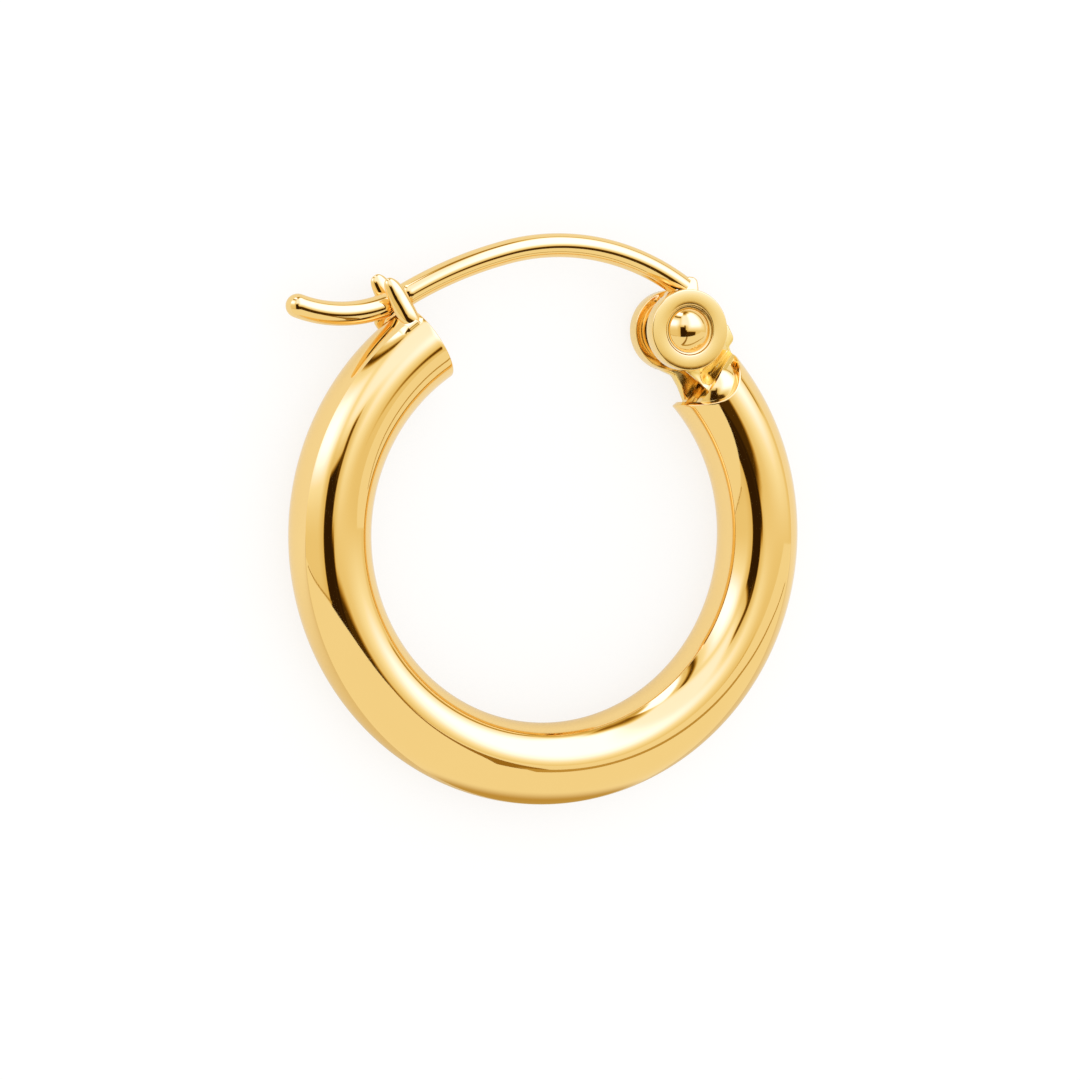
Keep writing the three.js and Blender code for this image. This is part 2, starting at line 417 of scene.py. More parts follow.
neck = {
    "start": 0.8,
    "intoPlug": 0.15,
    "innerDrop": 0.06,
    "dropFrom": 1.2,
    "outerAtEar": 0.75,
    "outerAtPlug": 0.25,
    "top": 0.97,
    "depth": 0.4,
    "deepest": 0.72,  # share of the way from the ear to the plug
    "rounding": 0.12,
    "openShare": 0.2,
    "openLength": 0.5,
    "fullWidth": 0.6,
    "skin": 0.1,
    "steps": 48,
}


def nearNeck():
    # from the front ear into the tube, hollowed between the round ear and the plug
    start = neck["start"]
    end = hinge["plugTop"] + neck["intoPlug"]

    def place(along, across):
        u = start + (end - start) * along
        low = hinge["strapInner"] - neck["innerDrop"] * smoothStep(neck["dropFrom"], end, u)
        high = neck["outerAtEar"] + (neck["outerAtPlug"] - neck["outerAtEar"]) * along
        v = low + (high - low) * across
        fromEar = max(0, math.hypot(u, v) - ear["radius"])
        fromPlug = max(0, hinge["plugTop"] - u)
        width = fromEar + fromPlug + 1e-6
        share = fromEar / width
        deepest = neck["deepest"]
        aside = share / deepest - 1 if share < deepest else (share - deepest) / (1 - deepest)
        steep = 1 + neck["rounding"] - math.hypot(aside, neck["rounding"])
        # shallow at its open end
        inside = smoothStep(low, low + neck["openLength"], v)
        inside = neck["openShare"] + (1 - neck["openShare"]) * inside
        depth = neck["depth"] * min(1, width / neck["fullWidth"]) * max(0, steep) * inside
        return Vector((u, v, neck["top"] - depth))

    return sheetPiece("earStrapFront", neck["steps"], neck["steps"], place, neck["skin"], Vector((0, 0, 1)))


def makeEar(side):
    name = "Front" if side > 0 else "Back"
    disc = earDisc("earDisc" + name)
    if side < 0:
        for vertex in disc.data.vertices:
            vertex.co.z = -vertex.co.z
        cleanShell(disc)
    makeActive(disc)
    disc.location.z = side * (hinge["gap"] + ear["thickness"]) / 2
    applyPlace()
    stem = nearNeck() if side > 0 else farStrap()
    for piece in (disc, stem):
        smoothShade(piece)
        settle(piece, rivetAt, hingeTurn)
    return [disc, stem]


plug = {
    "radius": 1.29,
    "start": 34,
    "end": 56,
    "slotTop": -1.0,
    "slotFloor": 2.1,
    "rounding": 0.1,
    "crown": 0.14,
    "crownLength": 0.5,
    "crownLimit": 1.5,
    "sides": 96,
    "steps": 110,
    "cutReach": 4.0,
}


def cutAway(piece, low, high):
    deselectAll()
    bpy.ops.mesh.primitive_cube_add(size=1)
    cutter = bpy.context.object
    cutter.scale = high - low
    cutter.location = (low + high) / 2
    applyPlace()
    boolean(piece, cutter, "DIFFERENCE")


def crownPlug(piece):
    # the plug narrows a little towards the ears
    for vertex in piece.data.vertices:
        radius = math.hypot(vertex.co.x, vertex.co.y)
        axis = Vector((vertex.co.x, vertex.co.y, 0)) * (hoop["radius"] / radius)
        along = (axis - rivetAt) @ Matrix.Rotation(hingeTurn, 3, "Z")
        toEnd = hinge["plugTop"] + plug["crownLength"] - along.x
        share = min(plug["crownLimit"], max(0, toEnd / plug["crownLength"]))
        shrink = 1 - plug["crown"] * share ** 2 / plug["radius"]
        vertex.co = axis + (vertex.co - axis) * shrink


def makePlug():
    # turned on the hoop's curve, then moved into the hinge's frame to be cut square and slotted
    deselectAll()
    bpy.ops.mesh.primitive_circle_add(
        vertices=plug["sides"],
        radius=plug["radius"],
        fill_type="NGON",
        location=onCircle((0, 0), hoop["radius"], plug["start"]),
        rotation=(math.pi / 2, 0, math.radians(plug["start"])),
    )
    piece = bpy.context.object
    piece.name = "hingePlug"
    applyPlace()
    editMode()
    bpy.ops.mesh.select_all(action="SELECT")
    sweep = math.radians(plug["end"] - plug["start"])
    bpy.ops.mesh.spin(steps=plug["steps"], angle=-sweep, center=(0, 0, 0), axis=(0, 0, 1))
    objectMode()
    cleanShell(piece)
    crownPlug(piece)
    moveToHinge(piece)
    far = plug["cutReach"]
    half = hinge["gap"] / 2
    cutAway(piece, Vector((-far, -far, -far)), Vector((hinge["plugTop"], far, far)))
    cutAway(piece, Vector((plug["slotTop"], -far, -half)), Vector((plug["slotFloor"], far, half)))
    bevelEdges(piece, plug["rounding"], segments=4, angle=50)
    smoothShade(piece)
    settle(piece, rivetAt, hingeTurn)
    return piece


stop = {
    "inner": 1.34,
    "innerFrom": 12,
    "innerTo": 42,
    "innerSteps": 8,
    "outline": [
        (1.14, 1.12), (1.33, 1.2), (1.78, 0.95), (1.86, 0.8),
        (1.84, 0.55), (2.05, 0.42), (2.5, 0.2), (2.5, -0.2),
    ],
    "overlap": 0.1,
    "rounding": 0.11,
}


def makeStop():
    # the web between the ears; the ear wire's heel swings up to it when it opens
    arc = arcPoints((0, 0), stop["inner"], stop["innerFrom"], stop["innerTo"], stop["innerSteps"])
    points = [tuple(point) for point in arc] + stop["outline"]
    web = platePiece("stopWeb", points, hinge["gap"] + stop["overlap"])
    bevelEdges(web, stop["rounding"], segments=5, angle=20)
    smoothShade(web, 45)
    settle(web, rivetAt, hingeTurn)
    return web


# Rivet

rivet = {
    "radius": 0.4,
    "headRadius": 0.83,
    "headRise": 0.45,
    "headGap": 0.02,
    "domeSteps": 14,
    "steps": 96,
}


def makeRivet():
    seat = hinge["gap"] / 2 + ear["thickness"] - ear["recessDepth"] + rivet["headGap"]
    dome = (rivet["headRadius"] ** 2 + rivet["headRise"] ** 2) / (2 * rivet["headRise"])
    reach = math.asin(rivet["headRadius"] / dome)
    upper = [(rivet["radius"], seat)]
    for i in range(rivet["domeSteps"] + 1):
        angle = reach * (1 - i / rivet["domeSteps"])
        upper.append((dome * math.sin(angle), seat + dome * (math.cos(angle) - math.cos(reach))))
    lower = [(radius, -height) for radius, height in reversed(upper)]
    piece = turnedPiece("hingeRivet", lower + upper, rivet["steps"])
    smoothShade(piece, 40)
    settle(piece, rivetAt)
    return piece


# Ear wire

wire = {
    "radius": 0.44,
    "crest": {"centre": (0.554, 2.126), "radius": 8.441, "start": 55, "end": 104.56, "steps": 96},
    "slope": {"radius": 16.167, "end": 119.92, "steps": 54},
    "tip": {"radius": 4.861, "sweep": 49.3, "steps": 54},
    "sides": 56,
    "tipRings": 9,
    "notch": {
        "fromTip": 3.88, "length": 0.68, "depth": 0.06, "overhang": 0.08, "slope": 0.1,
        "reach": 1.5,  # in wire radii
    },
    "eye": {
        "radius": 1.2, "inner": 0.2, "thickness": 0.9, "rounding": 0.12, "steps": 96,
        "bore": 0.45, "boreSteps": 64,
    },
    "heel": {
        "outline": [
            (-0.6, 0), (0.9, 0.5), (-0.05, 1.1), (-0.3, 1.66),
            (-0.5, 1.9), (-0.66, 1.93), (-0.9, 1.8), (-1.2, 0.6),
        ],
        "taper": 0.45,
        "taperFrom": 1.05,
        "taperTo": 1.95,
        "rounding": 0.15,
    },
}


def wireArcs():
    crest = wire["crest"]
    slopeRadius = wire["slope"]["radius"]
    slopeCentre = onCircle(crest["centre"], crest["radius"] - slopeRadius, crest["end"])
    tipRadius = wire["tip"]["radius"]
    tipCentre = onCircle(slopeCentre, slopeRadius + tipRadius, wire["slope"]["end"])
    tipStart = wire["slope"]["end"] - 180
    return [
        {"centre": Vector(crest["centre"]).to_3d(), "radius": crest["radius"], "steps": crest["steps"],
         "start": crest["start"], "end": crest["end"]},
        {"centre": slopeCentre, "radius": slopeRadius, "steps": wire["slope"]["steps"],
         "start": crest["end"], "end": wire["slope"]["end"]},
        {"centre": tipCentre, "radius": tipRadius, "steps": wire["tip"]["steps"],
         "start": tipStart, "end": tipStart - wire["tip"]["sweep"]},
    ]


def makeWireRod(arcs):
    first = arcs[0]
    deselectAll()
    bpy.ops.mesh.primitive_circle_add(
        vertices=wire["sides"],
        radius=wire["radius"],
        fill_type="NGON",
        location=onCircle(first["centre"], first["radius"], first["start"]),
        rotation=(math.pi / 2, 0, math.radians(first["start"])),
    )
    rod = bpy.context.object
    rod.name = "earWire"
    applyPlace()
    editMode()
    bpy.ops.mesh.select_all(action="SELECT")
    for arc in arcs:
        bpy.ops.mesh.spin(
            steps=arc["steps"],
            angle=math.radians(arc["start"] - arc["end"]),
            center=arc["centre"],
            axis=(0, 0, 1),
        )
    last = arcs[-1]
    end = onCircle(last["centre"], last["radius"], last["end"])
    heading = (end - last["centre"]).normalized().cross(Vector((0, 0, 1)))
    rings = wire["tipRings"]
    for i in range(1, rings + 1):
        before = math.radians(90 * (i - 1) / rings)
        now = math.radians(90 * i / rings)
        step = wire["radius"] * (math.sin(now) - math.sin(before))
        bpy.ops.mesh.extrude_region_move(TRANSFORM_OT_translate={"value": heading * step})
        ratio = max(math.cos(now), 1e-3) / math.cos(before)
        middle = end + heading * wire["radius"] * math.sin(now)
        bpy.ops.transform.resize(value=(ratio, ratio, ratio), center_override=middle)
    bpy.ops.mesh.merge(type="CENTER")
    objectMode()
    cleanShell(rod)
    return rod


def cutNotch(rod, arcs):
    notch = wire["notch"]
    tip = arcs[-1]
    angle = tip["end"] + math.degrees(notch["fromTip"] / tip["radius"])
    half = notch["length"] / 2 + notch["overhang"]
    for vertex in rod.data.vertices:
        spoke = Vector((vertex.co.x, vertex.co.y, 0)) - tip["centre"]
        turned = math.degrees(math.atan2(spoke.y, spoke.x))
        along = math.radians((turned - angle + 180) % 360 - 180) * tip["radius"]
        near = abs(spoke.length - tip["radius"]) < wire["radius"] * notch["reach"]
        if near and abs(along) < half:
            middle = tip["centre"] + spoke.normalized() * tip["radius"]
            ease = min(1, (half - abs(along)) / notch["slope"])
            shrink = 1 - ease * notch["depth"] / wire["radius"]
            vertex.co = middle + (vertex.co - middle) * shrink


def makeEye():
    # flattened, round and a little thinner than the gap between the ears
    eye = wire["eye"]
    half = eye["thickness"] / 2
    inner = eye["inner"]
    outer = eye["radius"]
    profile = [(inner, -half), (outer, -half), (outer, half), (inner, half), (inner, -half)]
    piece = turnedPiece("eye", profile, eye["steps"])
    bevelEdges(piece, eye["rounding"], segments=4)
    return piece


def makeHeel():
    # the corner behind the eye, thinner towards its top
    heel = wire["heel"]
    piece = platePiece("heel", heel["outline"], wire["eye"]["thickness"])
    for vertex in piece.data.vertices:
        vertex.co.z *= 1 - heel["taper"] * smoothStep(heel["taperFrom"], heel["taperTo"], vertex.co.y)
    bevelEdges(piece, heel["rounding"], segments=5, angle=18)
    return piece


def makeEarWire():
    arcs = wireArcs()
    rod = makeWireRod(arcs)
    cutNotch(rod, arcs)
    moveToHinge(rod)
    eye = makeEye()
    boolean(rod, makeHeel(), "UNION")
    boolean(rod, eye, "UNION")
    radius = wire["eye"]["bore"]
    profile = [(0, -1), (radius, -1), (radius, 1), (0, 1)]
    boolean(rod, turnedPiece("bore", profile, wire["eye"]["boreSteps"]), "DIFFERENCE")
    smoothShade(rod, 38)
    settle(rod, rivetAt, hingeTurn)
    return rod


# Catch, in its own frame: Y outwards from the tube's outermost line, X clockwise round the hoop

catch = {
    "gap": 0.94,
    "segments": 72,
    "rings": 64,
    "toeBand": (0.55, 0.05),  # heights between which the toe grows
    "bendBand": (-0.4, 1.2),
    "leanBand": (0.7, -0.5),
    "front": {
        "low": -0.8, "high": 1.41, "width": 0.76, "thickness": 0.58, "fullness": 2.3,
        "foot": -0.1, "head": 0.04, "toe": 0.0, "lean": 0.16,
    },
    "back": {
        "low": -0.85, "high": 1.5, "width": 0.8, "thickness": 0.5, "fullness": 2.7,
        "foot": 0.06, "head": 0.16, "toe": 0.5, "lean": 0.1,
    },
}


def makeArm(side):
    # a rounded finger, as if bent up out of half-round wire; the back one has a long toe on the tube
    arm = catch["front"] if side > 0 else catch["back"]
    deselectAll()
    bpy.ops.mesh.primitive_uv_sphere_add(segments=catch["segments"], ring_count=catch["rings"], radius=1)
    piece = bpy.context.object
    piece.name = "catchArmFront" if side > 0 else "catchArmBack"
    power = arm["fullness"]
    middleZ = side * (catch["gap"] + arm["thickness"]) / 2
    for vertex in piece.data.vertices:
        along = (vertex.co.z + 1) / 2
        ring = max(1e-6, math.hypot(vertex.co.x, vertex.co.y))
        full = (1 - min(1, abs(vertex.co.z)) ** power) ** (1 / power)
        y = arm["low"] + (arm["high"] - arm["low"]) * along
        toe = arm["toe"] * smoothStep(*catch["toeBand"], y)
        half = (arm["width"] + toe) / 2
        bend = (arm["head"] - arm["foot"]) * smoothStep(*catch["bendBand"], y)
        x = arm["foot"] + bend - toe / 2 + half * vertex.co.x * full / ring
        lean = side * arm["lean"] * smoothStep(*catch["leanBand"], y)
        z = middleZ + vertex.co.y * arm["thickness"] / 2 + lean
        vertex.co = Vector((x, y, z))
    cleanShell(piece)
    smoothShade(piece, 60)
    settle(piece, catchAt, catchTurn)
    return piece


pad = {
    "left": -0.95,
    "full": -0.45,
    "right": 0.12,
    "inner": 0.3,
    "outer": 1.2,
    "rise": 0.14,
    "skin": 0.14,
    "sunk": 0.02,
    "rightEdge": 0.12,
    "innerEdge": 0.14,
    "outerEdge": 0.1,
    "outwardTilt": 0.6,
    "columns": 60,
    "rows": 48,
}


def makePad(side):
    # solder run round the foot of an arm: a low swelling on the tube's shoulder
    radius = hoop["tubeRadius"]

    def place(along, across):
        x = pad["left"] + (pad["right"] - pad["left"]) * along
        z = pad["inner"] + (pad["outer"] - pad["inner"]) * across
        ramp = min(1, max(0, (x - pad["left"]) / (pad["full"] - pad["left"])))
        height = ramp ** 2 * smoothStep(pad["right"], pad["right"] - pad["rightEdge"], x)
        height *= smoothStep(pad["outer"], pad["outer"] - pad["outerEdge"], z)
        height *= smoothStep(pad["inner"], pad["inner"] + pad["innerEdge"], z)
        section = radius - pad["sunk"] + pad["rise"] * height
        lean = math.asin(z / radius) * side
        out = hoop["radius"] + section * math.cos(lean)
        turned = math.radians(spots["catchAngle"]) - x / hoop["outer"]
        return Vector((out * math.cos(turned), out * math.sin(turned), section * math.sin(lean)))

    name = "catchPadFront" if side > 0 else "catchPadBack"
    outward = onCircle((0, 0), 1, spots["catchAngle"]) + Vector((0, 0, pad["outwardTilt"] * side))
    piece = sheetPiece(name, pad["columns"], pad["rows"], place, pad["skin"], outward)
    smoothShade(piece, 45)
    settle(piece)
    return piece


# Gold

gold = {
    "hoop_gold": {"colour": (1.0, 0.72, 0.30), "roughness": 0.045, "wave": 0.12, "scratches": 0.25},
    "wire_gold": {"colour": (1.0, 0.72, 0.30), "roughness": 0.05, "wave": 0.15, "scratches": 0.3},
    "rivet_gold": {"colour": (1.0, 0.72, 0.30), "roughness": 0.06, "wave": 0.3, "scratches": 0.3},
    "hinge_satin": {"colour": (1.0, 0.75, 0.28), "roughness": 0.17, "wave": 0.3, "scratches": 0.3},
    "ear_satin": {"colour": (1.0, 0.74, 0.31), "roughness": 0.1, "wave": 0.3, "scratches": 0.25},
}


marks = {
    "patchScale": 420,
    "fineScale": 9000,
    "waveScale": 700,
    "hairScale": 900,
    "hairDistortion": 22,
    "hairThinness": 14,
    "hairFrom": 0.52,
    "patchTint": (0.985, 0.965, 0.93),
    "roughLeast": 0.55,
    "roughSpread": 0.9,
    "hairRough": 0.12,
    "fineHeight": 0.0012,
    "hairDepth": 0.01,
    "bumpStrength": 0.35,
    "bumpDistance": 0.00003,
}


def makePolishGroup():
    # polishing marks: a faint wave from the buffing wheel, hairlines, and patches a little less bright
    group = bpy.data.node_groups.new("handPolish", "ShaderNodeTree")
    face = group.interface
    face.new_socket(name="Colour", in_out="INPUT", socket_type="NodeSocketColor")
    for name, value in (("Roughness", 0.05), ("Wave", 0.2), ("Hairlines", 0.3)):
        socket = face.new_socket(name=name, in_out="INPUT", socket_type="NodeSocketFloat")
        socket.default_value = value
    face.new_socket(name="Colour", in_out="OUTPUT", socket_type="NodeSocketColor")
    face.new_socket(name="Roughness", in_out="OUTPUT", socket_type="NodeSocketFloat")
    face.new_socket(name="Normal", in_out="OUTPUT", socket_type="NodeSocketVector")
    nodes = group.nodes
    links = group.links
    entry = nodes.new("NodeGroupInput")
    leave = nodes.new("NodeGroupOutput")
    place = nodes.new("ShaderNodeTexCoord")

    def noise(scale, detail, roughness=0.5):
        node = nodes.new("ShaderNodeTexNoise")
        node.inputs["Scale"].default_value = scale
        node.inputs["Detail"].default_value = detail
        node.inputs["Roughness"].default_value = roughness
        links.new(place.outputs["Object"], node.inputs["Vector"])
        return node.outputs["Fac"]

    def reckon(operation, first, second):
        node = nodes.new("ShaderNodeMath")
        node.operation = operation
        for socket, value in zip(node.inputs, (first, second)):
            if isinstance(value, (int, float)):
                socket.default_value = value
            else:
                links.new(value, socket)
        return node.outputs[0]

    patches = noise(marks["patchScale"], 3)
    fine = noise(marks["fineScale"], 4, 0.6)
    wave = noise(marks["waveScale"], 1)
    hair = nodes.new("ShaderNodeTexWave")
    hair.inputs["Scale"].default_value = marks["hairScale"]
    hair.inputs["Distortion"].default_value = marks["hairDistortion"]
    hair.inputs["Detail"].default_value = 3
    hair.inputs["Detail Scale"].default_value = 0.6
    links.new(place.outputs["Object"], hair.inputs["Vector"])
    lines = reckon("POWER", hair.outputs["Fac"], marks["hairThinness"])
    seen = reckon("MULTIPLY", lines, reckon("GREATER_THAN", patches, marks["hairFrom"]))

    tint = nodes.new("ShaderNodeMix")
    tint.data_type = "RGBA"
    tint.blend_type = "MULTIPLY"
    tint.inputs[7].default_value = (*marks["patchTint"], 1)
    links.new(patches, tint.inputs[0])
    links.new(entry.outputs["Colour"], tint.inputs[6])
    links.new(tint.outputs[2], leave.inputs["Colour"])

    spread = reckon("ADD", reckon("MULTIPLY", fine, marks["roughSpread"]), marks["roughLeast"])
    varied = reckon("MULTIPLY", entry.outputs["Roughness"], spread)
    hairRough = reckon("MULTIPLY", entry.outputs["Hairlines"], marks["hairRough"])
    links.new(reckon("ADD", varied, reckon("MULTIPLY", seen, hairRough)), leave.inputs["Roughness"])

    wavy = reckon("MULTIPLY", wave, entry.outputs["Wave"])
    relief = reckon("ADD", wavy, reckon("MULTIPLY", fine, marks["fineHeight"]))
    hairDepth = reckon("MULTIPLY", entry.outputs["Hairlines"], marks["hairDepth"])
    bump = nodes.new("ShaderNodeBump")
    bump.inputs["Strength"].default_value = marks["bumpStrength"]
    bump.inputs["Distance"].default_value = marks["bumpDistance"]
    links.new(reckon("SUBTRACT", relief, reckon("MULTIPLY", seen, hairDepth)), bump.inputs["Height"])
    links.new(bump.outputs["Normal"], leave.inputs["Normal"])
    return group


def makeGold(name, values, polish):
    material = bpy.data.materials.new(name)
    material.use_nodes = True
    nodes = material.node_tree.nodes
    links = material.node_tree.links
    shader = nodes["Principled BSDF"]
    shader.inputs["Metallic"].default_value = 1
    group = nodes.new("ShaderNodeGroup")
    group.node_tree = polish
    group.inputs["Colour"].default_value = (*values["colour"], 1)
    group.inputs["Roughness"].default_value = values["roughness"]
    group.inputs["Wave"].default_value = values["wave"]
    group.inputs["Hairlines"].default_value = values["scratches"]
    links.new(group.outputs["Colour"], shader.inputs["Base Color"])
    links.new(group.outputs["Roughness"], shader.inputs["Roughness"])
    links.new(group.outputs["Normal"], shader.inputs["Normal"])
    return material


polish = makePolishGroup()
golds = {name: makeGold(name, values, polish) for name, values in gold.items()}
print("gold mixed")


finishes = {
    "earDiscFront": "ear_satin",
    "earDiscBack": "ear_satin",
    "earStrapFront": "hinge_satin",
    "earStrapBack": "hinge_satin",
    "hingePlug": "ear_satin",
    "stopWeb": "hinge_satin",
}


def finishPiece(piece, body, slot, node):
    piece.data.materials.clear()
    piece.data.materials.append(golds[finishes.get(piece.name, slot)])
    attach(piece, body)
    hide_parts(node)


hoopPieces = [makeHoopTube(), makeEndPlate()]
print("tube bent")
hoopPieces += [makePlug(), makeStop(), *makeEar(1), *makeEar(-1)]
print("hinge built")
for side in (1, -1):
    hoopPieces += [makeArm(side), makePad(side)]
print("catch soldered on")
for piece in hoopPieces:
    finishPiece(piece, "hoop", "hoop_gold", "hoop_tube")
finishPiece(makeRivet(), "hoop", "rivet_gold", "hinge_rivet")
finishPiece(makeEarWire(), "ear_wire", "wire_gold", "ear_wire")
print("rivet and ear wire in")


# Studio: a pale floor, and a room of soft white panels that the gold mirrors

studio = {
    "floorColour": (0.25, 0.248, 0.244),
    "floorGlow": 0.75,
    "floorSeen": (1, 0.997, 0.993),
    # painted reflection: the floor's glow as the gold mirrors it, dimmer, and darker and warmer near the
    # card
    "floorPaintedReflection": (0.84, 0.84, 0.84),
    "floorPaintedReflectionNearCard": (0.62, 0.53, 0.34),
    "floorFade": 9.0,
    "floorSize": 3.0,
    "softLight": (1.150, 1.148, 1.143),
    "mirrorStrength": 3.4,
    "cardSize": 400.0,
    "cardDrop": 10.5,
    "cardReach": 30.0,
    "cardTurn": 21.4,
    "cardLight": 0.742,
    "cardShade": {"light": 0.45, "inner": 1.7, "outer": 2.8, "squash": 0.5},
    "tapeLift": 0.05,
    "tapeStep": 0.02,
}

# patches of the room by direction: azimuth about Y from +Z towards +X, and height above the
# XZ plane, in degrees; each is laid over the ones before it
roomBase = 0.68
roomPatches = [
    {"left": -200, "right": 200, "bottom": 60, "top": 120, "soft": 3, "light": 0.52},
    {"left": -25, "right": 45, "bottom": 64, "top": 82, "soft": 5, "light": 0.15},
    {"left": -112, "right": -30, "bottom": 61, "top": 78, "soft": 3, "light": 1.0},
    {"left": -140, "right": -37, "bottom": -12, "top": 53, "soft": 3, "light": 0.69},
    {"left": -140, "right": -40, "bottom": 4, "top": 50, "soft": 8, "light": 0.76},
    {"left": -108, "right": -42, "bottom": 16, "top": 44, "soft": 11, "light": 0.91},
    {"left": -88, "right": -56, "bottom": 20, "top": 38, "soft": 8, "light": 1.0},
    {"left": -37, "right": 80, "bottom": 0, "top": 60, "soft": 6, "light": 0.76},
    {"left": -34, "right": 75, "bottom": 12, "top": 70, "soft": 10, "light": 0.87},
    {"left": 0, "right": 62, "bottom": 8, "top": 70, "soft": 12, "light": 0.88},
    {"left": 8, "right": 60, "bottom": 15, "top": 70, "soft": 10, "light": 1.0},
    {"left": -106, "right": -38, "bottom": 52, "top": 56, "soft": 2, "light": 0.08},
    {"left": 78, "right": 83, "bottom": 18, "top": 60, "soft": 2, "light": 0.35},
    {"left": -45, "right": -5, "bottom": -70, "top": 18, "soft": 9, "light": 0.63},
    {"left": -36, "right": -13, "bottom": -70, "top": 12.5, "soft": 1.5, "light": 0.0},
    {"left": -19, "right": -13.5, "bottom": 8, "top": 19, "soft": 2, "light": 0.1},
    {"left": -15, "right": 31, "bottom": -40, "top": -7, "soft": 2.5, "light": 0.05},
    {"left": -15, "right": -8, "bottom": -40, "top": -1, "soft": 2.5, "light": 0.0},
]

# what a mirror of gold would need to see at each step of light, from black-brown to white
lightSteps = [
    (0.00, (0.030, 0.014, 0.003)),
    (0.10, (0.102, 0.050, 0.004)),
    (0.20, (0.205, 0.103, 0.010)),
    (0.30, (0.323, 0.185, 0.030)),
    (0.40, (0.451, 0.290, 0.070)),
    (0.50, (0.591, 0.424, 0.147)),
    (0.60, (0.730, 0.588, 0.280)),
    (0.70, (0.855, 0.785, 0.570)),
    (0.80, (0.980, 1.020, 1.050)),
    (0.90, (1.150, 1.300, 2.190)),
    (1.00, (1.500, 1.750, 3.300)),
]


# dark tape on the card: places in millimetres from below the hoop's centre, X and Z
cardTapes = [
    {
        "points": [(-64, 4), (-54, 8), (-44, 13), (-34, 19), (-25, 25)],
        "across": (0, 2.6),
        "light": 0.45,
    },
    {
        "points": [(0.6, 7), (1.3, 11), (1.8, 16), (2.0, 22), (1.9, 28), (1.5, 34)],
        "across": (3, 0),
        "light": 0.3,
    },
    {
        "points": [(0.6, 7), (8, 9), (20, 12.5), (34, 13), (48, 10.5), (64, 8)],
        "across": (0, 2.6),
        "light": 0.45,
    },
]


def lightColour(light):
    for (low, dim), (high, bright) in zip(lightSteps, lightSteps[1:]):
        if light <= high:
            share = (light - low) / (high - low)
            return [a + (b - a) * share for a, b in zip(dim, bright)]
    return list(lightSteps[-1][1])


def makePatchGroup():
    group = bpy.data.node_groups.new("softPatch", "ShaderNodeTree")
    face = group.interface
    for name in ("Azimuth", "Height", "Left", "Right", "Bottom", "Top", "Soft"):
        face.new_socket(name=name, in_out="INPUT", socket_type="NodeSocketFloat")
    face.new_socket(name="Mask", in_out="OUTPUT", socket_type="NodeSocketFloat")
    nodes = group.nodes
    links = group.links
    entry = nodes.new("NodeGroupInput")
    leave = nodes.new("NodeGroupOutput")

    def edge(value, limit, rising):
        low = nodes.new("ShaderNodeMath")
        low.operation = "SUBTRACT"
        links.new(entry.outputs[limit], low.inputs[0])
        links.new(entry.outputs["Soft"], low.inputs[1])
        high = nodes.new("ShaderNodeMath")
        high.operation = "ADD"
        links.new(entry.outputs[limit], high.inputs[0])
        links.new(entry.outputs["Soft"], high.inputs[1])
        step = nodes.new("ShaderNodeMapRange")
        step.interpolation_type = "SMOOTHSTEP"
        links.new(entry.outputs[value], step.inputs["Value"])
        links.new(low.outputs[0], step.inputs["From Min"])
        links.new(high.outputs[0], step.inputs["From Max"])
        step.inputs["To Min"].default_value = 0 if rising else 1
        step.inputs["To Max"].default_value = 1 if rising else 0
        return step.outputs["Result"]

    mask = edge("Azimuth", "Left", True)
    others = [("Azimuth", "Right", False), ("Height", "Bottom", True), ("Height", "Top", False)]
    for value, limit, rising in others:
        both = nodes.new("ShaderNodeMath")
        both.operation = "MULTIPLY"
        links.new(mask, both.inputs[0])
        links.new(edge(value, limit, rising), both.inputs[1])
        mask = both.outputs[0]
    links.new(mask, leave.inputs["Mask"])
    return group


